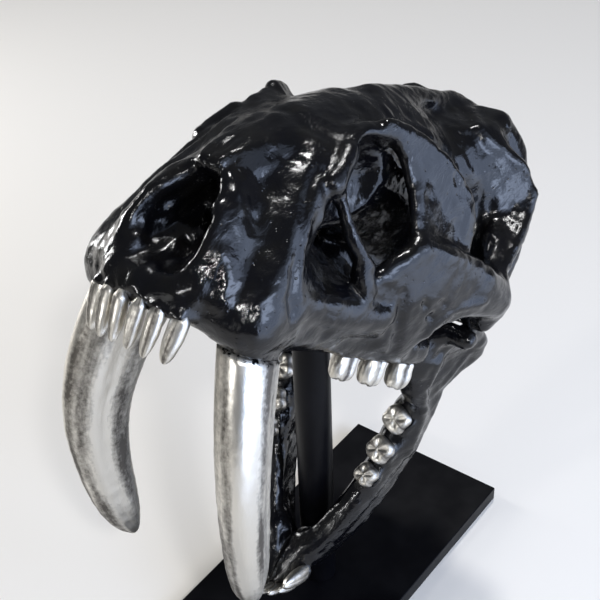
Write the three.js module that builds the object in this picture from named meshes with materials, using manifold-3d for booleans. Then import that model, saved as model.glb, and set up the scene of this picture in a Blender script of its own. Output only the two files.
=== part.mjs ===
// Sabre-toothed cat skull with its jaws wide open, on a post and a flat plate.
// Millimetres, +Z up, +X towards the animal's snout, +Y to its left. The origin is the middle of the
// plate's underside, below the post.

import * as THREE from 'three';
import Module from 'manifold-3d';
import { MarchingCubes } from 'three/addons/objects/MarchingCubes.js';
import { SimplifyModifier } from 'three/addons/modifiers/SimplifyModifier.js';
import { mergeVertices } from 'three/addons/utils/BufferGeometryUtils.js';

// Stand
const PLATE_LENGTH = 300;
const PLATE_WIDTH = 134;
const PLATE_THICKNESS = 12;
const POST_DIAMETER = 25.4;
const POST_TOP = 300;
const POST_SIDES = 24;

// Pose of the bones: each group's origin, and its turn about Y
const SKULL_ORIGIN = [154, 0, 353 + PLATE_THICKNESS];
const SKULL_NOSE_UP = THREE.MathUtils.degToRad(36);
const JAW_ORIGIN = [-50, 0, 234 + PLATE_THICKNESS];
const JAW_NOSE_DOWN = THREE.MathUtils.degToRad(51);

// Surface meshes of the bones
const GRID = 128;
const MOST_TRIANGLES = 200000;
const CRANIUM_TRIANGLES = 4200;
const MANDIBLE_TRIANGLES = 1200;
const CLEARANCE = 0.3;
const JOINT_CLEARANCE = 1.2;
const POST_CLEARANCE = 3;

// Materials seen in the photo
const black_lacquer = new THREE.MeshStandardMaterial({ color: '#14151a', roughness: 0.2, metalness: 0 });
const silver_leaf = new THREE.MeshStandardMaterial({ color: '#c9c8c6', roughness: 0.3, metalness: 1 });
const black_metal = new THREE.MeshStandardMaterial({ color: '#1b1b1e', roughness: 0.45, metalness: 0.4 });

const wasm = await Module();
wasm.setup();

// Fields: a shape is a function of x, y, z that is negative inside, in millimetres. Beyond these
// distances a field is only rough.
const FAR = 30;
const NEAR = 10;

function smoothMin(a, b, blend) {
  const h = Math.max(blend - Math.abs(a - b), 0) / blend;
  return Math.min(a, b) - h * h * blend / 4;
}

function smoothMax(a, b, blend) {
  return -smoothMin(-a, -b, blend);
}

// An ellipsoid, turned about Z and then tipped about Y.
function ellipsoid([cx, cy, cz], [rx, ry, rz], turn = 0, tip = 0) {
  const rotation = new THREE.Matrix4().makeRotationFromEuler(
    new THREE.Euler(0, THREE.MathUtils.degToRad(tip), THREE.MathUtils.degToRad(turn), 'ZYX'));
  const m = rotation.transpose().elements;
  return (x, y, z) => {
    const px = x - cx;
    const py = y - cy;
    const pz = z - cz;
    const qx = (m[0] * px + m[4] * py + m[8] * pz) / rx;
    const qy = (m[1] * px + m[5] * py + m[9] * pz) / ry;
    const qz = (m[2] * px + m[6] * py + m[10] * pz) / rz;
    const near = Math.sqrt(qx * qx + qy * qy + qz * qz);
    const far = Math.sqrt((qx / rx) ** 2 + (qy / ry) ** 2 + (qz / rz) ** 2);
    return far > 1e-9 ? near * (near - 1) / far : -Math.min(rx, ry, rz);
  };
}

// A round bar through points [x, y, z, radius].
function bar(...stations) {
  const segments = [];
  for (let i = 0; i + 1 < stations.length; i += 1) {
    const [ax, ay, az, ar] = stations[i];
    const [bx, by, bz, br] = stations[i + 1];
    const ux = bx - ax;
    const uy = by - ay;
    const uz = bz - az;
    segments.push([ax, ay, az, ar, ux, uy, uz, br - ar, ux * ux + uy * uy + uz * uz]);
  }
  return (x, y, z) => {
    let best = Infinity;
    for (const [ax, ay, az, ar, ux, uy, uz, dr, length2] of segments) {
      const px = x - ax;
      const py = y - ay;
      const pz = z - az;
      const t = Math.min(1, Math.max(0, (px * ux + py * uy + pz * uz) / length2));
      const dx = px - t * ux;
      const dy = py - t * uy;
      const dz = pz - t * uz;
      best = Math.min(best, Math.sqrt(dx * dx + dy * dy + dz * dz) - ar - t * dr);
    }
    return best;
  };
}

// A rounded plate of the given half thickness over the fan of triangles from a hub to its rim points.
function plate(halfThickness, hub, ...rim) {
  const triangle = new THREE.Triangle();
  const point = new THREE.Vector3();
  const closest = new THREE.Vector3();
  const fans = [];
  for (let i = 0; i + 1 < rim.length; i += 1) {
    const corners = [hub, rim[i], rim[i + 1]].map((p) => new THREE.Vector3(...p));
    fans.push(new THREE.Triangle(...corners));
  }
  const sphere = new THREE.Sphere().setFromPoints([hub, ...rim].map((p) => new THREE.Vector3(...p)));
  return (x, y, z) => {
    point.set(x, y, z);
    const outside = point.distanceTo(sphere.center) - sphere.radius;
    if (outside > FAR) return outside;
    let best = Infinity;
    for (const fan of fans) {
      triangle.copy(fan).closestPointToPoint(point, closest);
      best = Math.min(best, closest.distanceToSquared(point));
    }
    return Math.sqrt(best) - halfThickness;
  };
}

// Bone grown from [blend, shape] pairs joined in order, then hollowed, then given thin struts that
// cross the hollows. Both sides are alike, so a shape is given for the left side only.
function bone(grown, hollows, struts = []) {
  return (x, signedY, z) => {
    const y = Math.abs(signedY);
    let d = 10 * FAR;
    for (const [blend, shape] of grown) d = smoothMin(d, shape(x, y, z), blend);
    if (d > FAR) return d;
    for (const [blend, shape] of hollows) d = smoothMax(d, -shape(x, y, z), blend);
    for (const [blend, shape] of struts) d = smoothMin(d, shape(x, y, z), blend);
    return d;
  };
}

// Triangle mesh of a field over a box that is centred on the XZ plane.
async function fieldGeometry(field, low, high, triangles) {
  const cubes = new MarchingCubes(GRID, new THREE.Material(), false, false, MOST_TRIANGLES);
  cubes.isolation = 0;
  const half = GRID / 2;
  const centre = new THREE.Vector3((low[0] + high[0]) / 2, 0, (low[2] + high[2]) / 2);
  const scale = new THREE.Vector3(high[0] - low[0], high[1] - low[1], high[2] - low[2]).divideScalar(2);
  const at = (index, axis) => centre.getComponent(axis) + scale.getComponent(axis) * (index - half) / half;
  for (let k = 0; k < GRID; k += 1) {
    for (let j = half; j < GRID; j += 1) {
      for (let i = 0; i < GRID; i += 1) {
        const value = -field(at(i, 0), at(j, 1), at(k, 2));
        cubes.setCell(i, j, k, value);
        cubes.setCell(i, 2 * half - j, k, value);
      }
    }
  }
  cubes.update();
  const positions = new THREE.BufferAttribute(cubes.positionArray.slice(0, cubes.count * 3), 3);
  let geometry = new THREE.BufferGeometry().setAttribute('position', positions);
  geometry = mergeVertices(geometry, 1e-5);
  geometry.scale(scale.x, scale.y, scale.z).translate(centre.x, 0, centre.z);
  const removed = geometry.getAttribute('position').count - triangles / 2;
  return new SimplifyModifier().modify(geometry, removed);
}

// Solids for cutting

function toSolid(geometry) {
  let plain = geometry.clone();
  plain.deleteAttribute('normal');
  plain.deleteAttribute('uv');
  plain = mergeVertices(plain, 1e-4);
  return new wasm.Manifold(new wasm.Mesh({
    numProp: 3,
    vertProperties: new Float32Array(plain.getAttribute('position').array),
    triVerts: new Uint32Array(plain.getIndex().array),
  }));
}

function toGeometry(solid) {
  const { vertProperties, triVerts } = solid.getMesh();
  const geometry = new THREE.BufferGeometry();
  geometry.setAttribute('position', new THREE.BufferAttribute(vertProperties, 3));
  geometry.setIndex(new THREE.BufferAttribute(triVerts, 1));
  return geometry;
}

// Teeth: a turned profile bent along a curve

// rings holds [place along the curve 0..1, long size, wide size]; the first and last ring are points.
// yaw turns the long side of the section about Z, and extra grows the tooth on every side.
function toothGeometry({ curve, rings, yaw = 0, sides, extra = 0 }) {
  const profile = rings.map(([along, long]) => new THREE.Vector2(long > 0 ? 1 : 0, along));
  const lathe = new THREE.LatheGeometry(profile, sides);
  const position = lathe.getAttribute('position');
  const vertex = new THREE.Vector3();
  const forward = new THREE.Vector3(Math.cos(yaw), Math.sin(yaw), 0);
  for (let i = 0; i < position.count; i += 1) {
    vertex.fromBufferAttribute(position, i);
    const [along, long, wide] = rings[i % rings.length];
    const tangent = curve.getTangentAt(along);
    const side = new THREE.Vector3().crossVectors(tangent, forward).normalize();
    const front = new THREE.Vector3().crossVectors(side, tangent);
    const place = curve.getPointAt(along);
    place.addScaledVector(front, vertex.z * (long / 2 + extra));
    place.addScaledVector(side, vertex.x * (wide / 2 + extra));
    position.setXYZ(i, place.x, place.y, place.z);
  }
  return lathe;
}

const up = (points) => new THREE.CatmullRomCurve3(points.map((p) => new THREE.Vector3(...p)));

// Cranium in its own frame: the origin is the gum between the middle incisors, the palate is level.

const craniumGrown = [
  // Braincase, forehead and snout
  [20, ellipsoid([-235, 0, 98], [85, 46, 52])],
  [24, bar([-46, 0, 66, 22], [-70, 0, 82, 31], [-108, 0, 96, 39], [-150, 0, 108, 42], [-195, 0, 112, 43])],
  [16, bar([-26, 26, 26, 20], [-58, 28, 30, 27], [-100, 30, 32, 26], [-140, 22, 30, 20])],
  // Canine root
  [10, ellipsoid([-53, 40, 14], [36, 24, 30], 20)],
  [12, bar([-52, 44, 34, 19], [-62, 43, 62, 15], [-77, 35, 91, 11])],
  // Bone over the incisors and the rim of the nose
  [8, bar([-4, 0, 15, 11], [-7, 16, 15, 11], [-15, 27, 15, 12], [-26, 34, 14, 13])],
  [8, bar([-14, 27, 24, 10], [-15, 27, 45, 9], [-24, 23, 65, 9], [-38, 13, 80, 9])],
  [8, bar([-26, 4, 87, 4], [-45, 7, 92, 10], [-75, 10, 106, 12])],
  [12, bar([-32, 26, 44, 13], [-50, 26, 64, 13], [-74, 23, 82, 14])],
  // Brow and cheek
  [10, bar([-82, 27, 102, 9], [-108, 34, 123, 8], [-124, 39, 131, 7], [-138, 43, 134, 6])],
  [12, bar([-64, 50, 24, 16], [-100, 54, 26, 18], [-135, 62, 30, 17])],
  [8, plate(7, [-165, 85, 52], [-124, 68, 48], [-134, 73, 62], [-147, 78, 75], [-166, 84, 74], [-187, 88, 71],
    [-212, 93, 68], [-231, 93, 60], [-226, 93, 50], [-204, 91, 46], [-186, 84, 36], [-178, 77, 22],
    [-176, 72, 12], [-150, 68, 14], [-124, 68, 48])],
  [10, bar([-215, 92, 60, 11], [-240, 91, 55, 12], [-260, 82, 50, 13], [-278, 66, 50, 16], [-285, 50, 52, 18])],
  // Closed bar behind the eye
  [5, plate(4, [-165, 64, 108], [-124, 42, 137], [-148, 50, 136], [-170, 61, 129], [-194, 74, 111],
    [-198, 79, 98], [-196, 82, 78], [-150, 76, 68], [-148, 68, 88], [-150, 60, 104], [-142, 50, 122],
    [-124, 42, 137])],
  // Rear wall of the temple with its wing down to the cheek arch
  [12, plate(6, [-276, 62, 102], [-236, 90, 60], [-258, 86, 80], [-275, 81, 95], [-287, 76, 111],
    [-291, 72, 126], [-281, 61, 140], [-267, 42, 152], [-266, 34, 100], [-268, 60, 56], [-236, 90, 60])],
  // Crests
  [10, bar([-170, 0, 146, 12], [-225, 0, 160, 8], [-280, 0, 166, 8], [-318, 0, 158, 10])],
  [12, bar([-285, 0, 156, 14], [-286, 34, 161, 12], [-300, 44, 150, 11], [-308, 58, 120, 11],
    [-304, 64, 80, 12], [-292, 64, 38, 13])],
  [8, bar([-266, 40, 152, 7], [-284, 30, 156, 12])],
  [14, ellipsoid([-268, 20, 126], [36, 32, 34])],
  [16, ellipsoid([-298, 0, 95], [28, 60, 62])],
  // Base: joint, ear, neck joint, palate
  [14, ellipsoid([-264, 0, 48], [80, 38, 30])],
  [12, bar([-246, 40, 44, 16], [-240, 74, 48, 13], [-244, 90, 52, 11])],
  [8, bar([-254, 62, 40, 10], [-252, 88, 36, 7])],
  [6, ellipsoid([-275, 28, 24], [18, 13, 14])],
  [10, ellipsoid([-328, 18, 40], [15, 13, 15])],
  [14, ellipsoid([-98, 0, 24], [88, 46, 15])],
  [8, bar([-74, 50, 12, 12], [-115, 50, 10, 12], [-150, 55, 9, 12], [-180, 61, 9, 12], [-208, 67, 10, 11])],
  [10, bar([-160, 20, 14, 8], [-205, 22, 16, 7], [-226, 26, 24, 7])],
  [12, bar([-150, 0, 34, 18], [-210, 0, 36, 22])],
];

const GUM_LEVEL = -3;

const craniumHollows = [
  // Nose with the ramp down to the incisors
  [4, bar([-6, 8, 51, 12], [-46, 5, 62, 8])],
  [6, bar([-2, 0, 62, 15], [-46, 0, 68, 9])],
  [4, bar([-6, 0, 75, 7], [-42, 0, 74, 5])],
  [8, bar([-14, 8, 50, 12], [20, 11, 31, 15])],
  // Eye, and the pit in front of it
  [3, ellipsoid([-115, 53, 93], [32, 30, 38], 75)],
  [4, bar([-60, 52, 95, 5], [-62, 59, 78, 9], [-62, 66, 60, 14])],
  [4, bar([-78, 68, 60, 18], [-96, 44, 66, 14])],
  // Roof of the mouth, throat, spine canal
  [8, ellipsoid([-104, 0, -6], [88, 34, 22])],
  [5, bar([-172, 0, 6, 10], [-215, 0, 20, 7])],
  [4, bar([-322, 0, 58, 11], [-360, 0, 56, 14])],
  [3, (x, y, z) => z - GUM_LEVEL],
];

const craniumStruts = [
  // Bar between the eye and the pit in front of it
  [4, bar([-100, 36, 120, 5], [-87, 43, 102, 4.5], [-86, 51, 86, 4], [-93, 60, 70, 4.5], [-108, 67, 56, 6])],
];

const craniumField = bone(craniumGrown, craniumHollows, craniumStruts);

// Lower jaw in its own frame: the origin is the jaw joint, X runs along the row of teeth.

const mandibleGrown = [
  [10, bar([62, 50, -44, 12], [95, 46.5, -45, 11], [120, 41, -44, 10], [150, 31, -44, 9], [182, 18, -43, 10])],
  [12, bar([50, 56, -50, 8], [88, 50, -61.5, 8.5], [118, 43, -62, 8.5], [150, 33, -62, 9], [186, 16, -60, 9])],
  [10, bar([182, 12, -43, 11], [212, 6, -41, 11])],
  [10, bar([192, 8, -58, 9], [206, 5, -56, 9])],
  [8, plate(5.5, [24, 66, -32], [58, 54, -38], [47, 56, -14], [34, 61, -1], [22, 64, 6], [8, 66, 4],
    [0, 75, -6], [-4, 76, -28], [0, 75, -56], [12, 71, -60], [30, 64, -50], [56, 55, -50], [58, 54, -38])],
  [6, bar([0, 60, 0, 6.5], [0, 89, 0, 7])],
  [6, bar([2, 75, -50, 6], [6, 73, -60, 6])],
  [6, bar([22, 70, -8, 5], [44, 65, -18, 5], [62, 62, -38, 4], [90, 57, -48, 4])],
];

const mandibleHollows = [
  [6, ellipsoid([26, 81, -34], [20, 11, 22])],
];

const skullToWorld = new THREE.Matrix4().makeRotationY(-SKULL_NOSE_UP).setPosition(...SKULL_ORIGIN);
const jawToWorld = new THREE.Matrix4().makeRotationY(JAW_NOSE_DOWN).setPosition(...JAW_ORIGIN);
const jawToSkull = skullToWorld.clone().invert().multiply(jawToWorld);

const mandibleBone = bone(mandibleGrown, mandibleHollows);
const probe = new THREE.Vector3();

// The jaw keeps clear of the cranium all round its joint.
function mandibleField(x, y, z) {
  const d = mandibleBone(x, y, z);
  if (d > NEAR) return d;
  probe.set(x, y, z).applyMatrix4(jawToSkull);
  const cranium = craniumField(probe.x, probe.y, probe.z);
  probe.set(x, y, z).applyMatrix4(jawToWorld);
  const post = Math.hypot(probe.x, probe.y) - POST_DIAMETER / 2;
  return Math.max(d, JOINT_CLEARANCE - cranium, POST_CLEARANCE - post);
}

// Teeth

const SOCKET = 5;
// Shares of a tooth's length and size from its root to its tip
const CONE = [[0, 0], [0, 0.8], [0.25, 1], [0.6, 0.9], [0.88, 0.55], [1, 0]];
const BLOCK = [[0, 0], [0, 0.86], [0.4, 0.98], [0.78, 1], [1, 0.72], [1, 0]];

const sides = { left: 1, right: -1 };

const UPPER_INCISORS = [
  { gum: [3.5, 6, 5], tip: [1.2, 5.2, -21.5], long: 10, wide: 10 },
  { gum: [1, 17, 5.5], tip: [-0.4, 15.4, -23], long: 10, wide: 10.5 },
  { gum: [-5, 28, 5], tip: [-5.8, 25.8, -23], long: 12, wide: 12 },
];
const LOWER_INCISORS = [
  { gum: [218, 4, -34], tip: [223, 3.8, -18], long: 7, wide: 6.5 },
  { gum: [216, 11, -34], tip: [220, 10.5, -18], long: 7.5, wide: 7 },
  { gum: [211, 17.5, -35], tip: [214.5, 17.5, -17], long: 8, wide: 7 },
];
const LOWER_CANINE = { gum: [200, 22, -36], tip: [207, 24, -8], long: 15, wide: 11 };
const UPPER_CHEEK = [
  { centre: [-148, 54], length: 21, width: 15, gum: -1, tip: -18 },
  { centre: [-175, 60], length: 21, width: 15, gum: -1, tip: -19 },
  { centre: [-202, 66], length: 20, width: 15, gum: -1, tip: -19 },
];
const LOWER_CHEEK = [
  { centre: [115, 43], length: 17, width: 17, gum: -34, tip: -25 },
  { centre: [95, 46], length: 20, width: 20, gum: -33, tip: -25 },
  { centre: [71, 49.5], length: 20.5, width: 20.5, gum: -33, tip: -25 },
];
const SABRE_LINE = [[-53, 36, 22], [-55, 40.4, 5.7], [-56.2, 47, -20], [-60, 51.7, -42.4], [-73.3, 57, -80],
  [-95, 57, -112.7], [-124.5, 53.4, -146.6], [-149, 49, -168]];
const SABRE_YAW = THREE.MathUtils.degToRad(20);
const SABRE_RINGS = [[0, 0, 0], [0, 54, 33], [0.08, 58, 35.4], [0.19, 55, 34], [0.3, 51.5, 33], [0.41, 47.5, 31.5],
  [0.52, 43, 30], [0.63, 38.5, 28.5], [0.73, 35, 27], [0.83, 31, 24.5], [0.91, 23, 18], [0.97, 11, 9], [1, 0, 0]];

function mirrored(points, side) {
  return points.map(([x, y, z]) => [x, y * side, z]);
}

function scaledRings(shares, long, wide) {
  return shares.map(([along, share]) => [along, share * long, share * wide]);
}

// A straight tooth whose root runs into its socket beyond the gum.
function pegTooth({ gum, tip, long, wide }, side, extra) {
  const axis = new THREE.Vector3(...tip).sub(new THREE.Vector3(...gum)).normalize();
  const root = new THREE.Vector3(...gum).addScaledVector(axis, -SOCKET - extra).toArray();
  const curve = up(mirrored([root, gum, tip], side));
  return toothGeometry({ curve, rings: scaledRings(CONE, long, wide), sides: 6, extra });
}

function cheekTooth({ centre: [x, y], length, width, gum, tip }, side, extra) {
  const root = gum + Math.sign(gum - tip) * (SOCKET + extra);
  const curve = up(mirrored([[x, y, root], [x, y, gum], [x, y, tip]], side));
  return toothGeometry({ curve, rings: scaledRings(BLOCK, length, width), sides: 8, extra });
}

function sabre(side, extra) {
  const curve = up(mirrored(SABRE_LINE, side));
  return toothGeometry({ curve, rings: SABRE_RINGS, yaw: SABRE_YAW * side, sides: 12, extra });
}

function toothSet(makers) {
  const teeth = [];
  for (const [name, side] of Object.entries(sides)) {
    for (const [label, make] of makers) teeth.push({ name: `${label}_${name}`, make: (extra) => make(side, extra) });
  }
  return teeth;
}

const upperTeeth = toothSet([
  ['upper_canine', sabre],
  ...UPPER_INCISORS.map((tooth, i) => [`upper_incisor_${i + 1}`, (side, extra) => pegTooth(tooth, side, extra)]),
  ...UPPER_CHEEK.map((tooth, i) => [`upper_cheek_${i + 1}`, (side, extra) => cheekTooth(tooth, side, extra)]),
]);
const lowerTeeth = toothSet([
  ['lower_canine', (side, extra) => pegTooth(LOWER_CANINE, side, extra)],
  ...LOWER_INCISORS.map((tooth, i) => [`lower_incisor_${i + 1}`, (side, extra) => pegTooth(tooth, side, extra)]),
  ...LOWER_CHEEK.map((tooth, i) => [`lower_cheek_${i + 1}`, (side, extra) => cheekTooth(tooth, side, extra)]),
]);

function named(name, geometry, material) {
  const mesh = new THREE.Mesh(geometry, material);
  mesh.name = name;
  return mesh;
}

function cylinderAlongZ(radius, bottom, top) {
  return new THREE.CylinderGeometry(radius, radius, top - bottom, POST_SIDES).rotateX(Math.PI / 2)
    .translate(0, 0, (top + bottom) / 2);
}

function addTeeth(group, boneSolid, teeth) {
  let cut = boneSolid;
  for (const { name, make } of teeth) {
    cut = cut.subtract(toSolid(make(CLEARANCE)));
    group.add(named(name, toGeometry(toSolid(make(0))), silver_leaf));
  }
  return cut;
}

async function skullGroup() {
  const group = new THREE.Group();
  group.position.set(...SKULL_ORIGIN);
  group.rotation.y = -SKULL_NOSE_UP;
  group.updateMatrixWorld();
  const surface = await fieldGeometry(craniumField, [-370, -150, -30], [30, 150, 200], CRANIUM_TRIANGLES);
  let solid = addTeeth(group, toSolid(surface), upperTeeth);
  const socket = cylinderAlongZ(POST_DIAMETER / 2 + CLEARANCE, PLATE_THICKNESS, POST_TOP + CLEARANCE);
  socket.applyMatrix4(group.matrixWorld.clone().invert());
  solid = solid.subtract(toSolid(socket));
  group.add(named('cranium', toGeometry(solid), black_lacquer));
  return group;
}

async function jawGroup() {
  const group = new THREE.Group();
  group.position.set(...JAW_ORIGIN);
  group.rotation.y = JAW_NOSE_DOWN;
  const surface = await fieldGeometry(mandibleField, [-35, -120, -110], [230, 120, 25], MANDIBLE_TRIANGLES);
  const solid = addTeeth(group, toSolid(surface), lowerTeeth);
  group.add(named('mandible', toGeometry(solid), black_lacquer));
  return group;
}

function stand() {
  const group = new THREE.Group();
  const base = new THREE.BoxGeometry(PLATE_LENGTH, PLATE_WIDTH, PLATE_THICKNESS);
  base.translate(0, 0, PLATE_THICKNESS / 2);
  group.add(named('base_plate', base, black_metal));
  const rod = cylinderAlongZ(POST_DIAMETER / 2, PLATE_THICKNESS + CLEARANCE, POST_TOP);
  group.add(named('post', rod, black_metal));
  return group;
}

const skull = new THREE.Group();
skull.add(await skullGroup(), await jawGroup(), stand());

export default skull;
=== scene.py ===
"""Looks for the sabre-toothed cat skull: lacquered bones, silver-leafed teeth, painted stand, studio."""

import math

import bmesh
import bpy
import numpy as np
from bpy.props import FloatProperty, FloatVectorProperty, PointerProperty
from mathutils import Matrix, Vector, noise
from mathutils.bvhtree import BVHTree


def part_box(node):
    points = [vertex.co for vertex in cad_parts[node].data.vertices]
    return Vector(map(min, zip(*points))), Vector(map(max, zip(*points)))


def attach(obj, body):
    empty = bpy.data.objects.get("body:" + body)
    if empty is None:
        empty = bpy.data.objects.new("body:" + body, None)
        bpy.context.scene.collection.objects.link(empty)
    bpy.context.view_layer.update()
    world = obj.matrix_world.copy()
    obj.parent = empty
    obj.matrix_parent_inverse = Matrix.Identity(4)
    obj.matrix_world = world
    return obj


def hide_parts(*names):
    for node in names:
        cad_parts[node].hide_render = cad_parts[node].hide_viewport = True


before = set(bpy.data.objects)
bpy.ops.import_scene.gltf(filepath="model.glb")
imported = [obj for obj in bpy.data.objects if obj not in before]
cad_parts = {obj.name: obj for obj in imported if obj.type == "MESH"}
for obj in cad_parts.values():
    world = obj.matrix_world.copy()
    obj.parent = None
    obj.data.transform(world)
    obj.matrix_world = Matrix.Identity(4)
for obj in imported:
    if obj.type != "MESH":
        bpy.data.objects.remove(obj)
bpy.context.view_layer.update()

bl_info = {
    "name": "Sabre-toothed Skull Looks",
    "version": (1, 0, 0),
    "blender": (4, 5, 0),
    "location": "3D View > Sidebar > Skull",
    "description": "Dresses the skull on its stand with modelled bone relief and procedural finishes",
    "category": "Add Mesh",
}

MM = 0.001

# Placement of the bones in the model, as in the solids
SKULL_ORIGIN = Vector((154, 0, 365)) * MM
SKULL_NOSE_UP = math.radians(36)
JAW_ORIGIN = Vector((-50, 0, 246)) * MM
JAW_NOSE_DOWN = math.radians(51)
SKULL_FRAME = Matrix.Translation(SKULL_ORIGIN) @ Matrix.Rotation(-SKULL_NOSE_UP, 4, "Y")
JAW_FRAME = Matrix.Translation(JAW_ORIGIN) @ Matrix.Rotation(JAW_NOSE_DOWN, 4, "Y")

# Camera that sees the skull as the photograph does
CAMERA_PLACE = Vector((0.5351, 0.4107, 0.7977))
CAMERA_LOOK = Vector((-0.62176, -0.48585, -0.61430))
CAMERA_RIGHT = Vector((-0.59439, 0.80346, -0.03384))
CAMERA_UP = Vector((-0.51001, -0.34410, 0.78835))
IMAGE_SIZE = 600
FOCAL_PIXELS = 1330.4
SENSOR_MM = 36

# Teeth of one side of the skull, as their nodes are named without the side
UPPER_TEETH = ["upper_canine", "upper_incisor_1", "upper_incisor_2", "upper_incisor_3",
               "upper_cheek_1", "upper_cheek_2", "upper_cheek_3"]
LOWER_TEETH = ["lower_canine", "lower_incisor_1", "lower_incisor_2", "lower_incisor_3",
               "lower_cheek_1", "lower_cheek_2", "lower_cheek_3"]
# Depth of the sockets of the small teeth
SOCKET = 5 * MM
# Middle line of a sabre, in millimetres in the skull's own frame, from root to tip
SABRE_LINE = [
    (-53, 36, 22), (-55, 40.4, 5.7), (-56.2, 47, -20), (-60, 51.7, -42.4),
    (-73.3, 57, -80), (-95, 57, -112.7), (-124.5, 53.4, -146.6), (-149, 49, -168),
]
# Height at which a sabre leaves the bone, in the skull's own frame
SABRE_CUT = -5 * MM
# Turn away from straight ahead of the side that counts as the front of a tooth
FRONT_YAW = math.radians(20)
# A smoothed tooth shrinks, more so with fewer sides, so each is first swelled by this share
TOOTH_SWELL = {"upper_canine": 1.03, "lower_canine": 1.13, "incisor": 1.22, "cheek": 1.09}
# The root of a tooth narrows by this share over this depth below the gum
ROOT_NARROWING = 0.3
ROOT_TAPER = 3 * MM
# Depth of the hollows, flutes, creases and lumps on the teeth
SABRE_HOLLOW = 0.7 * MM
SABRE_FLUTES = 0.2 * MM
INCISOR_HOLLOW = 0.3 * MM
CHEEK_CREASES = 2.2 * MM
CHEEK_RIM = 0.8 * MM
CHEEK_FLUTES = 0.8 * MM
CHEEK_LUMPS = 0.7 * MM
SMOOTH_LUMPS = 0.3 * MM
# Lumps on the teeth per metre
TOOTH_LUMPS = 170
# Radius from which a sabre has its full relief
SABRE_FULL_RADIUS = 12 * MM
# Samples along the middle of a tooth, and round its gum
SPINE_SAMPLES = 240
RING_SAMPLES = 13

# Silver leaf
# Radius of the ring that carries the leaf's pattern round each tooth
GRAIN_RADIUS = 12 * MM
# The leaf is broken within this distance of the gum, this much on the sabres and on the small teeth
GUM_BAND = 9 * MM
SABRE_SPECKS = 1.0
SMALL_TOOTH_SPECKS = 0.6
# Toned bands along the teeth: middle and half width in degrees round the tooth, and strength
TONED_BANDS = {
    "upper_canine": [(12, 9, 0.3), (-54, 13, 0.3), (36, 12, 0.2), (126, 20, 0.3),
                     (-16, 14, -0.3), (84, 18, -0.3)],
    "upper_incisor": [(0, 30, 0.22), (60, 25, -0.2), (-60, 25, -0.2)],
}
# How much the creases between the cusps have toned
CREASE_TONE = 0.3

# Surface of the bones
# Rounds of smoothing after the remesh, and how far each moves the points in and back out
CRANIUM_ROUNDS = 12
MANDIBLE_ROUNDS = 14
SMOOTH_IN = 0.55
SWELL_OUT = -0.57
# A stroke fades out over this many times its width
STROKE_REACH = 1.5
# A stroke may not cross from the surface that is seen to one behind it
LONGEST_STEP = 30 * MM
# The bone is raised round each gum over this share of the tooth's radius
GUM_SHARE = 0.5
# Lumps of hand modelling and finer grit per metre, and the grit's share of the height
LUMPS = 60
GRIT = 190
GRIT_SHARE = 0.6
# Balls in each bulge
BALLS = 7

# Stand
# Rounding of the post's rims, and the flats that stand for its round side
POST_EDGE = 0.4 * MM
POST_SIDES = 96
# Faces of the plate above this area are left flat
BROAD_FACE = 1000 * MM * MM

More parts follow.
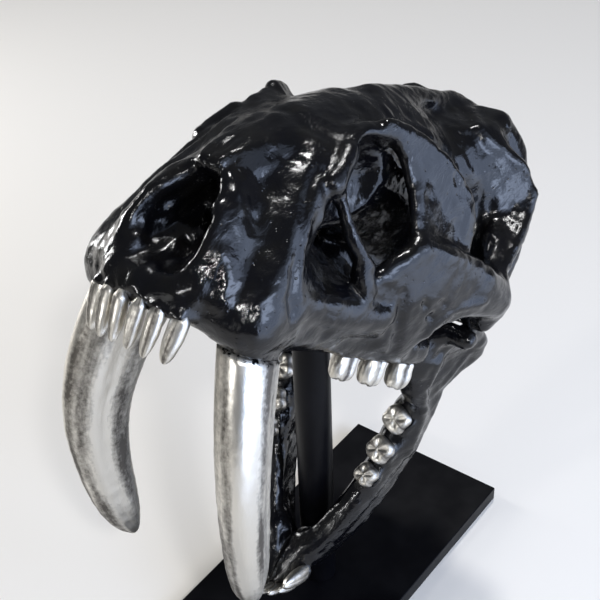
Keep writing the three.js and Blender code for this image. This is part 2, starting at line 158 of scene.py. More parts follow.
# Modelling strokes on the cranium: width and height in millimetres, and path in pixels of the photograph
CRANIUM_STROKES = [
    # Rim of the nose opening, far and near side
    (4, 1.3, [(137, 240), (142, 228), (148, 213), (157, 198), (168, 182), (176, 172), (190, 165)]),
    (4, 1.5, [(211, 167), (209, 178), (208, 190), (213, 198), (218, 207), (217, 218), (210, 230),
              (204, 244), (198, 255), (193, 266)]),
    # Edge of the nose bones, running up to the brow
    (5, 1.1, [(190, 163), (205, 160), (222, 155), (240, 143), (258, 127), (275, 115)]),
    (5, 1.3, [(138, 242), (125, 248), (112, 260), (103, 276)]),
    # Bands along the root of the canine
    (13, 2.2, [(318, 150), (312, 175), (300, 200), (290, 235), (280, 265), (272, 300), (268, 335)]),
    (7, -1.6, [(236, 205), (228, 240), (216, 275), (207, 305), (202, 325)]),
    (6, 1.2, [(226, 255), (222, 280), (222, 305)]),
    (4, -2.4, [(316, 172), (309, 192), (303, 220), (298, 245), (293, 270), (290, 295), (293, 315)]),
    (3, 1.0, [(322, 165), (318, 180), (311, 200), (307, 225), (302, 250), (299, 275), (301, 300)]),
    # Folds inside the nose and on the ramp below it
    (3, -1.2, [(150, 238), (172, 226), (192, 212), (206, 200)]),
    (3, 1.0, [(160, 212), (176, 205), (196, 190), (205, 180)]),
    (3, -1.0, [(163, 205), (182, 192), (198, 178)]),
    (3, 0.7, [(128, 282), (150, 262), (176, 246)]),
    (3, -0.7, [(140, 288), (160, 268), (185, 254)]),
    (3, 0.7, [(150, 296), (170, 276), (190, 264)]),
    # Rim of the eye and the fine ledge inside it
    (3.5, 1.0, [(373, 127), (360, 136), (352, 153), (345, 170), (342, 190), (349, 212), (356, 236),
                (365, 258), (378, 275), (392, 280)]),
    (2.5, 1.4, [(380, 141), (391, 156), (403, 175)]),
    (4, 0.8, [(404, 165), (411, 190), (412, 218), (414, 238)]),
    # Edge of the plate behind the eye
    (3.5, 0.9, [(385, 108), (392, 118), (402, 121), (418, 125), (432, 136), (447, 148), (461, 158),
                (470, 174), (476, 196), (470, 214), (465, 236)]),
    # Cheek: upper edge, lip under the arch, groove and the band beside it
    (4, 1.1, [(414, 242), (425, 236), (433, 234), (446, 243), (463, 253), (480, 262)]),
    (3, 1.3, [(416, 346), (430, 330), (446, 317), (464, 308), (486, 302)]),
    (4, -1.8, [(404, 294), (400, 315), (397, 335), (394, 350)]),
    (8, 0.9, [(412, 298), (409, 320), (405, 342)]),
    (9, 1.5, [(322, 305), (345, 312), (370, 316), (388, 318)]),
    (6, -1.8, [(306, 326), (325, 334), (348, 341), (372, 344)]),
    # Rear lobe
    (5, 1.8, [(470, 110), (479, 128), (490, 142), (502, 150), (516, 160), (526, 170)]),
    (4, 1.0, [(531, 176), (535, 192), (533, 208), (524, 228), (515, 245)]),
    (3, 1.1, [(486, 172), (485, 195), (484, 220), (483, 245)]),
]

# Bulges joined to both sides before the bone is smoothed: two ends in the skull's own frame and radius,
# all in millimetres
CRANIUM_BULGES = [
    # In front of the eye
    ((-94, 40, 113), (-79, 46, 95), 7.5),
    # Foot of the bar in front of the eye
    ((-106, 66, 55), (-114, 70, 41), 6.5),
]

# Small holes, cracks and grains on the cranium, given as the strokes are
CRANIUM_PITS = [
    (2.6, -3.2, [(430, 317), (431, 319)]),
    (2.0, -2.2, [(424, 303), (426, 307)]),
    (2.6, -1.4, [(442, 302), (445, 305)]),
    (1.8, -1.4, [(440, 147), (443, 149)]),
    (1.8, -1.6, [(456, 176), (458, 183)]),
    (1.6, -1.2, [(427, 194), (431, 199)]),
    (1.8, -1.6, [(495, 163), (501, 170)]),
    (1.8, -1.8, [(518, 164), (526, 178)]),
    (1.8, -1.2, [(514, 206), (512, 210)]),
    (1.8, -1.8, [(492, 240), (488, 252)]),
    (2.2, -1.6, [(284, 158), (290, 160)]),
    (1.8, -1.3, [(256, 218), (260, 222)]),
    (2.4, -1.6, [(316, 252), (324, 262)]),
    (2.0, 1.2, [(312, 256), (318, 268)]),
    (2.0, -1.6, [(372, 296), (384, 303)]),
    (2.0, -1.4, [(380, 308), (390, 305)]),
]

# Modelling strokes on the lower jaw: its edges, and the grooves and ridges between them
MANDIBLE_STROKES = [
    (4, 1.3, [(437, 347), (426, 370), (415, 394), (411, 420), (403, 440), (389, 463), (375, 481)]),
    (4, -1.2, [(430, 345), (418, 368), (408, 388), (402, 397)]),
    (6, -1.4, [(455, 350), (445, 368), (430, 392)]),
    (3, 0.9, [(470, 352), (455, 370), (440, 388), (424, 412)]),
    (3, 0.8, [(384, 402), (372, 426), (359, 453), (347, 478)]),
]


def hex_linear(code):
    """Linear colour of an sRGB hex code."""
    channels = [int(code[i:i + 2], 16) / 255 for i in (1, 3, 5)]
    return [c / 12.92 if c <= 0.04045 else ((c + 0.055) / 1.055) ** 2.4 for c in channels]


class SkullSettings(bpy.types.PropertyGroup):
    """Sizes and colours a user would change."""

    cranium_voxel: FloatProperty(
        name="Cranium detail", description="Grain of the cranium's modelled surface",
        default=2.05 * MM, min=1.5 * MM, unit="LENGTH")
    mandible_voxel: FloatProperty(
        name="Jaw detail", description="Grain of the lower jaw's modelled surface",
        default=1.5 * MM, min=1 * MM, unit="LENGTH")
    hand_relief: FloatProperty(
        name="Hand relief", description="Height of the lumps left by modelling the bone by hand",
        default=0.6 * MM, min=0, unit="LENGTH")
    gum_swell: FloatProperty(
        name="Gum swell", description="Height of the bone round each tooth",
        default=1.0 * MM, min=0, unit="LENGTH")
    plate_edge: FloatProperty(
        name="Plate edge", description="Rounding of the base plate's edges",
        default=0.8 * MM, min=0, unit="LENGTH")
    lacquer: FloatVectorProperty(
        name="Lacquer", description="Colour of the lacquer on the bones",
        default=hex_linear("#08080b"), size=3, min=0, max=1, subtype="COLOR")
    leaf: FloatVectorProperty(
        name="Silver leaf", description="Colour of the bright silver leaf",
        default=hex_linear("#d8d4cb"), size=3, min=0, max=1, subtype="COLOR")
    worn_leaf: FloatVectorProperty(
        name="Worn leaf", description="Colour where the leaf is rubbed and toned",
        default=hex_linear("#5d5954"), size=3, min=0, max=1, subtype="COLOR")
    paint: FloatVectorProperty(
        name="Stand paint", description="Colour of the paint on the post and plate",
        default=hex_linear("#07070a"), size=3, min=0, max=1, subtype="COLOR")


# Materials

def add_node(tree, kind, inputs=None, **settings):
    """Adds a node, with settings as its own properties and inputs as values or sockets to link."""
    made = tree.nodes.new(kind)
    for name, value in settings.items():
        setattr(made, name, value)
    for name, value in (inputs or {}).items():
        if isinstance(value, bpy.types.NodeSocket):
            tree.links.new(value, made.inputs[name])
        else:
            made.inputs[name].default_value = value
    return made


def new_material(name):
    """A material with only its output node: the material, its node tree and that node."""
    material = bpy.data.materials.new(name)
    material.use_nodes = True
    tree = material.node_tree
    tree.nodes.clear()
    output = add_node(tree, "ShaderNodeOutputMaterial")
    return material, tree, output


def ramp(tree, value, low, high, out_low=0.0, out_high=1.0):
    """Maps a value from one range to another, held at the ends."""
    return add_node(tree, "ShaderNodeMapRange", {
        "Value": value, "From Min": low, "From Max": high, "To Min": out_low, "To Max": out_high}).outputs[0]


def mixed(tree, share, first, second):
    """Mixes two colours."""
    blend = add_node(tree, "ShaderNodeMix", data_type="RGBA")
    tree.links.new(share, blend.inputs["Factor"])
    for socket, value in ((blend.inputs[6], first), (blend.inputs[7], second)):
        if isinstance(value, bpy.types.NodeSocket):
            tree.links.new(value, socket)
        else:
            socket.default_value = (*value, 1)
    return blend.outputs[2]


def black_lacquer(settings):
    """Gloss black lacquer brushed over cast resin: clear reflections broken by modelling marks and pits."""
    material, tree, output = new_material("black_gloss_lacquer")
    place = add_node(tree, "ShaderNodeTexCoord").outputs["Object"]
    # Modelling strokes about 9 mm apart, drawn out along the head
    drawn = add_node(tree, "ShaderNodeMapping", {"Vector": place, "Scale": (0.55, 1, 0.8)}).outputs[0]
    strokes = add_node(tree, "ShaderNodeTexNoise", {
        "Vector": drawn, "Scale": 110, "Detail": 4, "Roughness": 0.55, "Distortion": 0.8}).outputs[0]
    # Tool marks and brush texture about 2 mm apart
    marks = add_node(tree, "ShaderNodeTexNoise", {
        "Vector": drawn, "Scale": 480, "Detail": 4, "Roughness": 0.6, "Distortion": 0.5}).outputs[0]
    # Air bubbles in the cast, about 1 mm wide and 5 mm apart
    bubbles = add_node(tree, "ShaderNodeTexVoronoi", {"Vector": place, "Scale": 210}).outputs["Distance"]
    pits = ramp(tree, bubbles, 0.04, 0.17)
    # Patches that are rough and patches that are smooth, about 30 mm across
    patches = add_node(tree, "ShaderNodeTexNoise", {"Vector": place, "Scale": 34, "Detail": 2}).outputs[0]
    rough_share = ramp(tree, patches, 0.4, 0.62, 0.35, 1.0)
    low = add_node(tree, "ShaderNodeBump", {
        "Height": strokes, "Strength": 0.45, "Distance": 1.6 * MM}).outputs[0]
    middle = add_node(tree, "ShaderNodeBump", {
        "Height": marks, "Strength": rough_share, "Distance": 0.22 * MM, "Normal": low}).outputs[0]
    fine = add_node(tree, "ShaderNodeBump", {
        "Height": pits, "Strength": 0.8, "Distance": 0.3 * MM, "Normal": middle}).outputs[0]
    roughness = ramp(tree, patches, 0.35, 0.65, 0.1, 0.2)
    # Warmer black where the lacquer is thin, in clouds about 17 mm across
    warm = add_node(tree, "ShaderNodeTexNoise", {"Vector": place, "Scale": 60, "Detail": 3}).outputs[0]
    tint = mixed(tree, ramp(tree, warm, 0.45, 0.7), tuple(settings.lacquer), hex_linear("#0f0e0d"))
    shader = add_node(tree, "ShaderNodeBsdfPrincipled", {
        "Base Color": tint, "Roughness": roughness, "IOR": 1.48, "Specular IOR Level": 0.42, "Normal": fine})
    tree.links.new(shader.outputs[0], output.inputs[0])
    return material


def silver_leaf(settings):
    """Silver leaf rubbed over cast teeth: bright bands between toned, worn streaks along each tooth."""
    material, tree, output = new_material("worn_silver_leaf")
    grain = add_node(tree, "ShaderNodeAttribute", attribute_name="grain").outputs["Vector"]
    place = add_node(tree, "ShaderNodeTexCoord").outputs["Object"]
    # Bands about 12 mm apart round the tooth and far longer than that, where the leaf has toned
    band_place = add_node(tree, "ShaderNodeMapping", {"Vector": grain, "Scale": (1, 0.16, 1)}).outputs[0]
    bands = add_node(tree, "ShaderNodeTexNoise", {
        "Vector": band_place, "Scale": 85, "Detail": 4, "Roughness": 0.55, "Distortion": 0.4}).outputs[0]
    # Brush streaks about 2 mm apart
    streak_place = add_node(tree, "ShaderNodeMapping", {"Vector": grain, "Scale": (1, 0.1, 1)}).outputs[0]
    streaks = add_node(tree, "ShaderNodeTexNoise", {
        "Vector": streak_place, "Scale": 420, "Detail": 4, "Roughness": 0.6}).outputs[0]
    # Mottling of the leaf, about 3 mm across
    mottle = add_node(tree, "ShaderNodeTexNoise", {
        "Vector": place, "Scale": 330, "Detail": 4, "Roughness": 0.65}).outputs[0]
    wear = add_node(tree, "ShaderNodeAttribute", attribute_name="wear").outputs["Fac"]
    broad = add_node(tree, "ShaderNodeMath", {0: bands, 1: wear}, operation="ADD").outputs[0]
    fine = add_node(tree, "ShaderNodeMath", {0: streaks, 1: mottle}, operation="ADD").outputs[0]
    both = add_node(tree, "ShaderNodeMath", {
        0: fine, 1: 0.45, 2: broad}, operation="MULTIPLY_ADD").outputs[0]
    worn = ramp(tree, both, 0.92, 1.3)
    # Lacquer specks where the leaf stops short of the gum
    near_gum = add_node(tree, "ShaderNodeAttribute", attribute_name="near_gum").outputs["Fac"]
    specks = add_node(tree, "ShaderNodeMath", {0: near_gum, 1: mottle}, operation="MULTIPLY").outputs[0]
    bare = ramp(tree, specks, 0.42, 0.5)
    leaf_colour = mixed(tree, worn, tuple(settings.leaf), tuple(settings.worn_leaf))
    colour = mixed(tree, bare, leaf_colour, tuple(settings.lacquer))
    ridges = add_node(tree, "ShaderNodeBump", {
        "Height": bands, "Strength": 0.5, "Distance": 0.9 * MM}).outputs[0]
    wrinkles = add_node(tree, "ShaderNodeBump", {
        "Height": fine, "Strength": 0.5, "Distance": 0.35 * MM, "Normal": ridges}).outputs[0]
    roughness = ramp(tree, worn, 0, 1, 0.34, 0.5)
    shader = add_node(tree, "ShaderNodeBsdfPrincipled", {
        "Base Color": colour, "Roughness": roughness, "Metallic": 1.0, "Normal": wrinkles})
    tree.links.new(shader.outputs[0], output.inputs[0])
    return material


def black_paint(settings):
    """Satin black spray paint on steel: soft wide reflections over a faint orange peel."""
    material, tree, output = new_material("satin_black_paint")
    place = add_node(tree, "ShaderNodeTexCoord").outputs["Object"]
    # Orange peel about 1 mm across, and clouds of duller paint about 22 mm across
    peel = add_node(tree, "ShaderNodeTexNoise", {"Vector": place, "Scale": 900, "Detail": 2}).outputs[0]
    cloud = add_node(tree, "ShaderNodeTexNoise", {"Vector": place, "Scale": 45, "Detail": 4}).outputs[0]
    bump = add_node(tree, "ShaderNodeBump", {
        "Height": peel, "Strength": 0.25, "Distance": 0.1 * MM}).outputs[0]
    tint = mixed(tree, ramp(tree, cloud, 0.4, 0.7), tuple(settings.paint), hex_linear("#0c0c0f"))
    shader = add_node(tree, "ShaderNodeBsdfPrincipled", {
        "Base Color": tint, "Roughness": ramp(tree, cloud, 0.3, 0.7, 0.3, 0.42), "IOR": 1.45,
        "Specular IOR Level": 0.13, "Normal": bump})
    tree.links.new(shader.outputs[0], output.inputs[0])
    return material


def material_named(name, make):
    """The material, made the first time it is asked for."""
    return bpy.data.materials.get(name) or make(bpy.context.scene.skull_settings)


# Meshes

def merged_copy(node):
    """A welded copy of a CAD node's mesh."""
    work = bmesh.new()
    work.from_mesh(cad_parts[node].data)
    bmesh.ops.remove_doubles(work, verts=work.verts, dist=0.01 * MM)
    return work


def baked(name, work, modifiers=()):
    """The mesh of a bmesh with modifiers applied, given as (kind, settings) pairs."""
    mesh = bpy.data.meshes.new(name)
    work.to_mesh(mesh)
    work.free()
    piece = bpy.data.objects.new(name, mesh)
    bpy.context.scene.collection.objects.link(piece)
    for kind, values in modifiers:
        modifier = piece.modifiers.new(kind, kind)
        for key, value in values.items():
            setattr(modifier, key, value)
    bpy.context.view_layer.update()
    result = bpy.data.meshes.new_from_object(piece.evaluated_get(bpy.context.evaluated_depsgraph_get()))
    bpy.data.objects.remove(piece)
    bpy.data.meshes.remove(mesh)
    return result


def finish_piece(name, mesh, material, nodes):
    """Links a finished piece, smooth shaded, in place of its CAD nodes."""
    for polygon in mesh.polygons:
        polygon.use_smooth = True
    mesh.materials.clear()
    mesh.materials.append(material)
    piece = bpy.data.objects.new(name, mesh)
    bpy.context.scene.collection.objects.link(piece)
    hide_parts(*nodes)
    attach(piece, "root")
    return piece


def coordinates(mesh, what="co"):
    """The places, or another triple of values, of a mesh's points as an array."""
    values = np.empty(len(mesh.vertices) * 3)
    mesh.vertices.foreach_get(what, values)
    return values.reshape(-1, 3)


def store(mesh, points):
    """Moves the points of a mesh to these places."""
    mesh.vertices.foreach_set("co", points.ravel())
    mesh.update()


def edge_pairs(mesh):
    """The two points of each edge of a mesh."""
    pairs = np.empty(len(mesh.edges) * 2, int)
    mesh.edges.foreach_get("vertices", pairs)
    return pairs.reshape(-1, 2)


def relaxed(points, pairs, rounds):
    """Evens out the facets without shrinking: each round smooths and then swells back."""
    count = len(points)
    degree = np.maximum(np.bincount(pairs.ravel(), minlength=count), 1)
    for step in range(2 * rounds):
        amount = SMOOTH_IN if step % 2 == 0 else SWELL_OUT
        total = np.empty_like(points)
        for axis in range(3):
            column = points[:, axis]
            total[:, axis] = (np.bincount(pairs[:, 0], column[pairs[:, 1]], count)
                              + np.bincount(pairs[:, 1], column[pairs[:, 0]], count))
        points = points + amount * (total / degree[:, None] - points)
    return points


def distance_to(points, path):
    """Distance of each point from a path of straight steps."""
    best = np.full(len(points), np.inf)
    for start, end in zip(path[:-1], path[1:]):
        step = end - start
        share = np.clip((points - start) @ step / max(step @ step, 1e-12), 0, 1)
        best = np.minimum(best, np.linalg.norm(points - start - share[:, None] * step, axis=1))
    return best


def stroked(points, normals, path, width, height):
    """Raises, or below zero lowers, the surface near a path."""
    path = np.array(path)
    reach = width * STROKE_REACH
    inside = np.all((points > path.min(0) - reach) & (points < path.max(0) + reach), axis=1)
    near = np.flatnonzero(inside)
    if len(near) == 0:
        return
    fall = np.clip(1 - distance_to(points[near], path) / reach, 0, 1)
    fall = fall * fall * (3 - 2 * fall)
    points[near] += normals[near] * (height * fall)[:, None]


def seen_on(tree, pixels):
    """Places on the surface that the camera sees at these pixels of the photograph."""
    places = []
    for u, v in pixels:
        across = (u - IMAGE_SIZE / 2) / FOCAL_PIXELS
        down = (v - IMAGE_SIZE / 2) / FOCAL_PIXELS
        ray = (CAMERA_LOOK + CAMERA_RIGHT * across - CAMERA_UP * down).normalized()
        place = tree.ray_cast(CAMERA_PLACE, ray)[0]
        if place is not None:
            places.append(place)
    return places


def unbroken(places):
    """A path split where a step is too long to lie on one surface, without single places."""
    runs = [[]]
    for place in places:
        if runs[-1] and (place - runs[-1][-1]).length > LONGEST_STEP:
            runs.append([])
        runs[-1].append(place)
    return [run for run in runs if len(run) > 1]


def tooth_names(teeth):
    """The nodes of these teeth on both sides."""
    return [f"{tooth}_{side}" for tooth in teeth for side in ("left", "right")]


def side_sign(name):
    """One for a tooth on the left, minus one for its mirror image on the right."""
    return 1 if name.endswith("left") else -1


def tooth_frame(name):
    """The frame that a tooth stands in, and the sign of its Z towards the tip."""
    return (SKULL_FRAME, -1) if name.startswith("upper") else (JAW_FRAME, 1)


def tooth_heights(name, points):
    """Heights of points in the frame that the tooth stands in."""
    home, _ = tooth_frame(name)
    back = home.inverted()
    return np.array([(back @ Vector(point)).z for point in points])


def gum_level(name, points):
    """Height at which a tooth leaves the bone, in the frame that the tooth stands in."""
    if "upper_canine" in name:
        return SABRE_CUT
    _, sign = tooth_frame(name)
    heights = tooth_heights(name, points)
    return heights.max() - SOCKET if sign < 0 else heights.min() + SOCKET


def gum_ring(name):
    """The ring where a tooth leaves the bone, and its radius."""
    home, _ = tooth_frame(name)
    work = merged_copy(name)
    level = gum_level(name, [v.co for v in work.verts])
    local = np.array([home.inverted() @ v.co for v in work.verts])
    work.free()
    # The points of the tooth a little above and below the gum
    belt = local[np.abs(local[:, 2] - level) < SOCKET * 1.2]
    middle = belt.mean(0)
    radius = np.linalg.norm((belt - middle)[:, :2], axis=1).max()
    ring = []
    for turn in np.linspace(0, 2 * math.pi, RING_SAMPLES):
        x = middle[0] + radius * math.cos(turn)
        y = middle[1] + radius * math.sin(turn)
        ring.append(home @ Vector((x, y, level)))
    return ring, radius


def worked(mesh, node, strokes, teeth, rounds):
    """Smooths a remeshed bone, works the strokes into both its sides and adds hand-made lumps."""
    settings = bpy.context.scene.skull_settings
    pairs = edge_pairs(mesh)
    store(mesh, relaxed(coordinates(mesh), pairs, rounds))
    tree = BVHTree.FromPolygons([v.co for v in mesh.vertices], [p.vertices for p in mesh.polygons])
    points = coordinates(mesh)
    normals = coordinates(mesh, "normal")
    for width, height, pixels in strokes:
        for run in unbroken(seen_on(tree, pixels)):
            for side in (1, -1):
                path = [(place.x, place.y * side, place.z) for place in run]
                stroked(points, normals, path, width * MM, height * MM)
    for name in tooth_names(teeth):
        ring, radius = gum_ring(name)
        stroked(points, normals, ring, radius * GUM_SHARE, settings.gum_swell)
    for index, place in enumerate(points):
        here = Vector(place)
        height = noise.fractal(here * LUMPS, 1.0, 2.0, 3) + GRIT_SHARE * noise.noise(here * GRIT)
        points[index] += normals[index] * height * settings.hand_relief
    low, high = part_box(node)
    store(mesh, np.clip(relaxed(points, pairs, 1), low, high))


def root_plug(name):
    """The part of a tooth inside the bone, closed at the gum."""
    home, sign = tooth_frame(name)
    work = merged_copy(name)
    level = gum_level(name, [v.co for v in work.verts])
    geometry = work.verts[:] + work.edges[:] + work.faces[:]
    bmesh.ops.bisect_plane(work, geom=geometry, plane_co=home @ Vector((0, 0, level)),
                           plane_no=home.to_3x3() @ Vector((0, 0, sign)), clear_outer=True)
    bmesh.ops.holes_fill(work, edges=[e for e in work.edges if e.is_boundary])
    mesh = bpy.data.meshes.new("plug")
    work.to_mesh(mesh)
    work.free()
    return mesh


def add_bulge(work, start, end, radius):
    """Adds a row of balls to a bone, on both its sides, for the remesh to join."""
    for share in np.linspace(0, 1, BALLS):
        x, y, z = Vector(start).lerp(Vector(end), share) * MM
        for side in (1, -1):
            place = Matrix.Translation(SKULL_FRAME @ Vector((x, y * side, z)))
            bmesh.ops.create_icosphere(work, subdivisions=2, radius=radius * MM, matrix=place)


def make_bone(name, node, teeth, bulges, voxel, strokes, rounds):
    """One bone: its solid with the tooth roots filled in, remeshed finely and worked over."""
    work = merged_copy(node)
    for bulge in bulges:
        add_bulge(work, *bulge)
    for tooth in tooth_names(teeth):
        plug = root_plug(tooth)
        work.from_mesh(plug)
        bpy.data.meshes.remove(plug)
    mesh = baked(name, work, [("REMESH", {"mode": "VOXEL", "voxel_size": voxel, "adaptivity": 0})])
    worked(mesh, node, strokes, teeth, rounds)
    material = material_named("black_gloss_lacquer", black_lacquer)
    return finish_piece(name, mesh, material, [node])


def curve_through(knots):
    """Close samples of a curve that passes through the knots without corners."""
    ends = np.vstack([2 * knots[0] - knots[1], knots, 2 * knots[-1] - knots[-2]])
    share = np.linspace(0, 1, 12, endpoint=False)[:, None]
    parts = []
    for before, start, end, after in zip(ends, ends[1:], ends[2:], ends[3:]):
        parts.append(0.5 * (2 * start + (end - before) * share
                            + (2 * before - 5 * start + 4 * end - after) * share ** 2
                            + (3 * start - 3 * end + after - before) * share ** 3))
    return np.vstack(parts + [knots[-1:]])


def tooth_spine(name, points):
    """Even samples along a tooth's middle from root to tip, and the way along to each."""
    if "upper_canine" in name:
        places = [(x, y * side_sign(name), z) for x, y, z in SABRE_LINE]
        knots = np.array([SKULL_FRAME @ (Vector(place) * MM) for place in places])
    else:
        _, sign = tooth_frame(name)
        heights = tooth_heights(name, points) * sign
        low = points[heights < np.quantile(heights, 0.2)].mean(0)
        high = points[heights > np.quantile(heights, 0.8)].mean(0)
        knots = np.array([low - 0.5 * (high - low), high + 0.5 * (high - low)])
    knots = curve_through(knots)
    lengths = np.concatenate([[0], np.cumsum(np.linalg.norm(np.diff(knots, axis=0), axis=1))])
    even = np.linspace(0, lengths[-1], SPINE_SAMPLES)
    return np.stack([np.interp(even, lengths, knots[:, axis]) for axis in range(3)], axis=1), even


def tooth_measure(name, points):
    """For each point: the way along the tooth, the angle about its middle, and the offset from there."""
    spine, even = tooth_spine(name, points)
    nearest = np.argmin(np.linalg.norm(points[:, None] - spine[None], axis=2), axis=1)
    tangent = np.gradient(spine, axis=0)
    tangent /= np.linalg.norm(tangent, axis=1)[:, None]
    home, _ = tooth_frame(name)
    ahead = Vector((math.cos(FRONT_YAW), side_sign(name) * math.sin(FRONT_YAW), 0))
    across = np.cross(tangent, np.array(home.to_3x3() @ ahead))
    across /= np.linalg.norm(across, axis=1)[:, None]
    front = np.cross(across, tangent)
    offset = points - spine[nearest]
    angle = np.arctan2((offset * across[nearest]).sum(1), (offset * front[nearest]).sum(1))
    return even[nearest], angle, offset


def smooth_tooth(name):
    """A tooth's solid, smoothed without losing its width, and the height of its gum."""
    work = merged_copy(name)
    cage = np.array([v.co for v in work.verts])
    _, _, offset = tooth_measure(name, cage)
    swell = next(share for part, share in TOOTH_SWELL.items() if part in name)
    for vertex, place, away in zip(work.verts, cage, offset):
        vertex.co = Vector(place + away * (swell - 1))
    bmesh.ops.join_triangles(work, faces=work.faces, angle_face_threshold=math.radians(50),
                             angle_shape_threshold=math.radians(60))
    return baked(name, work, [("SUBSURF", {"levels": 3, "render_levels": 3})]), gum_level(name, cage)


def carve_sabre(points, normals, along, angle, offset):
    """Gives a sabre a shallow hollow along each flat, and faint flutes that wind a little."""
    wave = SABRE_FLUTES * np.cos(7 * angle + along / MM * 0.01) - SABRE_HOLLOW * np.cos(2 * angle) ** 4
    full = np.clip(np.linalg.norm(offset, axis=1) / SABRE_FULL_RADIUS, 0, 1)
    points += normals * (wave * full)[:, None]


def carve_cheek_tooth(points, normals, angle, offset, up):
    """Gives a cheek tooth four cusps with creases between them, and flutes down its sides."""
    facing = np.clip(normals @ up, 0, 1)
    radius = np.linalg.norm(offset, axis=1)
    share = radius / radius.max()
    creases = CHEEK_CREASES * np.cos(2 * angle) ** 6 * np.clip(1.15 - share, 0, 1)
    rim = CHEEK_RIM * np.clip(share - 0.45, 0, 1)
    points += up * (facing * (rim - creases))[:, None]
    points += normals * ((1 - facing) * CHEEK_FLUTES * np.cos(4 * angle))[:, None]


def toned(name, angle):
    """How much the leaf has toned at each angle about a tooth."""
    if "cheek" in name:
        return CREASE_TONE * np.clip(-np.cos(4 * angle), 0, 1)
    bands = next((listed for part, listed in TONED_BANDS.items() if part in name), [])
    turned = np.degrees(angle) * side_sign(name)
    worn = np.zeros(len(angle))
    for middle, half, strength in bands:
        worn += strength * np.exp(-((turned - middle) / half) ** 2)
    return worn


def guide_leaf(mesh, name, along, angle, depth):
    """Stores what the silver leaf follows: its grain, its toned bands and how near the gum is."""
    # Each tooth has its own place in the pattern
    own_place = sum(ord(letter) for letter in name) * GRAIN_RADIUS
    ring = np.stack([np.cos(angle) * GRAIN_RADIUS, along, np.sin(angle) * GRAIN_RADIUS + own_place], axis=1)
    grain = mesh.attributes.new("grain", "FLOAT_VECTOR", "POINT")
    grain.data.foreach_set("vector", ring.ravel())
    specks = SABRE_SPECKS if "upper_canine" in name else SMALL_TOOTH_SPECKS
    near_gum = mesh.attributes.new("near_gum", "FLOAT", "POINT")
    near_gum.data.foreach_set("value", specks * np.clip(1 - np.abs(depth) / GUM_BAND, 0, 1))
    wear = mesh.attributes.new("wear", "FLOAT", "POINT")
    wear.data.foreach_set("value", toned(name, angle))


def make_tooth(name):
    """One tooth: its solid smoothed, given its relief and covered with silver leaf."""
    mesh, gum = smooth_tooth(name)
    points = coordinates(mesh)
    normals = coordinates(mesh, "normal")
    along, angle, offset = tooth_measure(name, points)
    home, sign = tooth_frame(name)
    depth = (gum - tooth_heights(name, points)) * sign
    # The root is thinner than its socket, so that the bone hides it
    points -= offset * (ROOT_NARROWING * np.clip(depth / ROOT_TAPER, 0, 1))[:, None]
    if "upper_canine" in name:
        carve_sabre(points, normals, along, angle, offset)
    elif "cheek" in name:
        carve_cheek_tooth(points, normals, angle, offset, np.array(home.to_3x3() @ Vector((0, 0, sign))))
    else:
        # A shallow hollow down each side
        points -= normals * (INCISOR_HOLLOW * np.cos(2 * angle) ** 4)[:, None]
    lumps = CHEEK_LUMPS if "cheek" in name else SMOOTH_LUMPS
    for index, place in enumerate(points):
        points[index] += normals[index] * noise.noise(Vector(place) * TOOTH_LUMPS) * lumps
    store(mesh, points)
    guide_leaf(mesh, name, along, angle, depth)
    material = material_named("worn_silver_leaf", silver_leaf)
    return finish_piece(name + "_leafed", mesh, material, [name])


def soften(work, edges, width, segments):
    """Rounds edges of a bmesh."""
    bmesh.ops.bevel(work, geom=edges, offset=width, offset_type="OFFSET", segments=segments,
                    profile=0.5, affect="EDGES", material=-1)


def make_plate(paint):
    """The base plate, with rounded edges between flat faces."""
    low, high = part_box("base_plate")
    shape = Matrix.Translation((low + high) / 2) @ Matrix.Diagonal((*(high - low), 1))
    work = bmesh.new()
    bmesh.ops.create_cube(work, size=1, matrix=shape)
    soften(work, work.edges[:], bpy.context.scene.skull_settings.plate_edge, 3)
    piece = finish_piece("plate_painted", baked("plate", work), paint, ["base_plate"])
    for polygon in piece.data.polygons:
        polygon.use_smooth = polygon.area < BROAD_FACE


def make_post(paint):
    """The post, a round bar with softened rims and flat ends."""
    low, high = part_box("post")
    radius = (high.x - low.x) / 2
    work = bmesh.new()
    bmesh.ops.create_cone(work, cap_ends=True, segments=POST_SIDES, radius1=radius, radius2=radius,
                          depth=high.z - low.z, matrix=Matrix.Translation((low + high) / 2))
    rims = [e for e in work.edges if abs(e.verts[0].co.z - e.verts[1].co.z) < MM]
    soften(work, rims, POST_EDGE, 2)
    piece = finish_piece("post_painted", baked("post", work), paint, ["post"])
    for polygon in piece.data.polygons:
        polygon.use_smooth = len(polygon.vertices) == 4


# Stage

def area_light(name, place, aim, width, height, power, colour=(1, 1, 1)):
    """Hangs a rectangular lamp at a place, aimed at a point."""
    lamp = bpy.data.lights.new(name, "AREA")
    lamp.shape = "RECTANGLE"
    lamp.size = width
    lamp.size_y = height
    lamp.energy = power
    lamp.color = colour
    holder = bpy.data.objects.new(name, lamp)
    holder.location = place
    holder.rotation_euler = (Vector(aim) - Vector(place)).to_track_quat("-Z", "Y").to_euler()
    bpy.context.scene.collection.objects.link(holder)


def lay_floor():
    """A plain pale floor that glows faintly, as one in a white room does."""
    work = bmesh.new()
    bmesh.ops.create_grid(work, x_segments=1, y_segments=1, size=6)
    floor = bpy.data.objects.new("floor", baked("floor", work))
    bpy.context.scene.collection.objects.link(floor)
    material, tree, output = new_material("pale_floor")
    cloud = add_node(tree, "ShaderNodeTexNoise", {"Scale": 0.7, "Detail": 2}).outputs[0]
    shade = mixed(tree, cloud, hex_linear("#e2ded7"), hex_linear("#dedad4"))
    shader = add_node(tree, "ShaderNodeBsdfPrincipled", {
        "Base Color": shade, "Roughness": 0.9, "Emission Color": shade, "Emission Strength": 0.08})
    tree.links.new(shader.outputs[0], output.inputs[0])
    floor.data.materials.append(material)


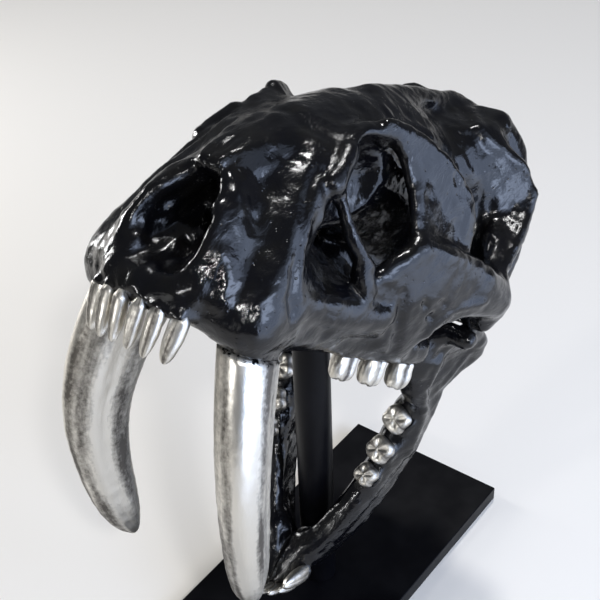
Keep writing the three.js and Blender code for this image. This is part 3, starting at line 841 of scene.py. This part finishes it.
def light_studio():
    """A dim cool room, large cool lamps on the skull's left that shine in the lacquer, and small lamps."""
    world = bpy.data.worlds.new("studio")
    world.use_nodes = True
    background = world.node_tree.nodes["Background"]
    background.inputs["Color"].default_value = (0.88, 0.92, 1.0, 1)
    background.inputs["Strength"].default_value = 0.14
    bpy.context.scene.world = world
    bpy.context.scene.view_settings.view_transform = "Standard"
    skull = (0, 0, 0.3)
    # Place, aim, width and height in metres, and power in watts
    area_light("side_softbox", (-0.3, 1.3, 0.5), (-0.3, 0, 0.5), 2.0, 1.0, 21, (0.58, 0.71, 1))
    area_light("upper_softbox", (-0.3, 1.25, 1.35), (-0.2, 0, 0.4), 1.6, 0.7, 3.4, (0.6, 0.73, 1))
    area_light("near_softbox", (0.06, 1.2, 0.85), (-0.1, 0, 0.4), 0.6, 0.5, 6.5, (0.62, 0.74, 1))
    area_light("low_glow", (-0.3, 0.95, 0.015), (-0.3, 0.95, 1), 2.0, 0.7, 7, (0.62, 0.74, 1))
    area_light("front_softbox", (1.6, -0.1, 0.75), skull, 0.9, 0.6, 1.9)
    area_light("right_strip", (0, -1.3, 0.45), (0, 0, 0.45), 0.15, 0.6, 8)
    # Small lamps that leave sparkles on the edges
    area_light("top_lamp", (-0.9, -0.3, 2.2), skull, 0.16, 0.16, 20)
    area_light("corner_lamp", (1.0, 1.2, 1.7), skull, 0.12, 0.12, 11)
    area_light("front_lamp", (1.9, -0.5, 0.72), skull, 0.14, 0.14, 8)


def place_camera():
    """The camera at the photograph's place and angle."""
    camera = bpy.data.cameras.new("camera")
    camera.sensor_width = SENSOR_MM
    camera.lens = FOCAL_PIXELS / IMAGE_SIZE * SENSOR_MM
    camera.clip_start = 0.01
    viewer = bpy.data.objects.new("camera", camera)
    turn = Matrix((CAMERA_RIGHT, CAMERA_UP, -CAMERA_LOOK)).transposed().to_4x4()
    viewer.matrix_world = Matrix.Translation(CAMERA_PLACE) @ turn
    bpy.context.scene.collection.objects.link(viewer)
    bpy.context.scene.camera = viewer


# Operators

class SKULL_OT_cranium(bpy.types.Operator):
    """Works the cranium over and lacquers it"""

    bl_idname = "skull.cranium"
    bl_label = "Cranium"

    def execute(self, context):
        make_bone("cranium_bone", "cranium", UPPER_TEETH, CRANIUM_BULGES,
                  context.scene.skull_settings.cranium_voxel, CRANIUM_STROKES + CRANIUM_PITS, CRANIUM_ROUNDS)
        return {"FINISHED"}


class SKULL_OT_mandible(bpy.types.Operator):
    """Works the lower jaw over and lacquers it"""

    bl_idname = "skull.mandible"
    bl_label = "Lower jaw"

    def execute(self, context):
        make_bone("mandible_bone", "mandible", LOWER_TEETH, [],
                  context.scene.skull_settings.mandible_voxel, MANDIBLE_STROKES, MANDIBLE_ROUNDS)
        return {"FINISHED"}


class SKULL_OT_teeth(bpy.types.Operator):
    """Shapes all teeth and covers them with silver leaf"""

    bl_idname = "skull.teeth"
    bl_label = "Teeth"

    def execute(self, context):
        for name in tooth_names(UPPER_TEETH + LOWER_TEETH):
            make_tooth(name)
        return {"FINISHED"}


class SKULL_OT_stand(bpy.types.Operator):
    """Makes the post and the base plate with softened edges"""

    bl_idname = "skull.stand"
    bl_label = "Stand"

    def execute(self, context):
        paint = material_named("satin_black_paint", black_paint)
        make_plate(paint)
        make_post(paint)
        return {"FINISHED"}


class SKULL_OT_stage(bpy.types.Operator):
    """Sets up the pale floor, the soft lights and the camera"""

    bl_idname = "skull.stage"
    bl_label = "Stage"

    def execute(self, context):
        lay_floor()
        light_studio()
        place_camera()
        return {"FINISHED"}


OPERATORS = [SKULL_OT_cranium, SKULL_OT_mandible, SKULL_OT_teeth, SKULL_OT_stand, SKULL_OT_stage]


class SKULL_PT_panel(bpy.types.Panel):
    """Lists the steps that dress the skull"""

    bl_idname = "SKULL_PT_panel"
    bl_label = "Skull"
    bl_space_type = "VIEW_3D"
    bl_region_type = "UI"
    bl_category = "Skull"

    def draw(self, context):
        settings = context.scene.skull_settings
        for name in SkullSettings.__annotations__:
            self.layout.prop(settings, name)
        for operator in OPERATORS:
            self.layout.operator(operator.bl_idname)


CLASSES = [SkullSettings, *OPERATORS, SKULL_PT_panel]


def register():
    """Registers the classes and gives each scene its settings."""
    for kind in CLASSES:
        bpy.utils.register_class(kind)
    bpy.types.Scene.skull_settings = PointerProperty(type=SkullSettings)


def unregister():
    """Takes the settings and the classes away again."""
    del bpy.types.Scene.skull_settings
    for kind in reversed(CLASSES):
        bpy.utils.unregister_class(kind)


def main():
    """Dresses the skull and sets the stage."""
    register()
    bpy.ops.skull.cranium()
    bpy.ops.skull.mandible()
    bpy.ops.skull.teeth()
    bpy.ops.skull.stand()
    bpy.ops.skull.stage()


if __name__ == "__main__":
    main()
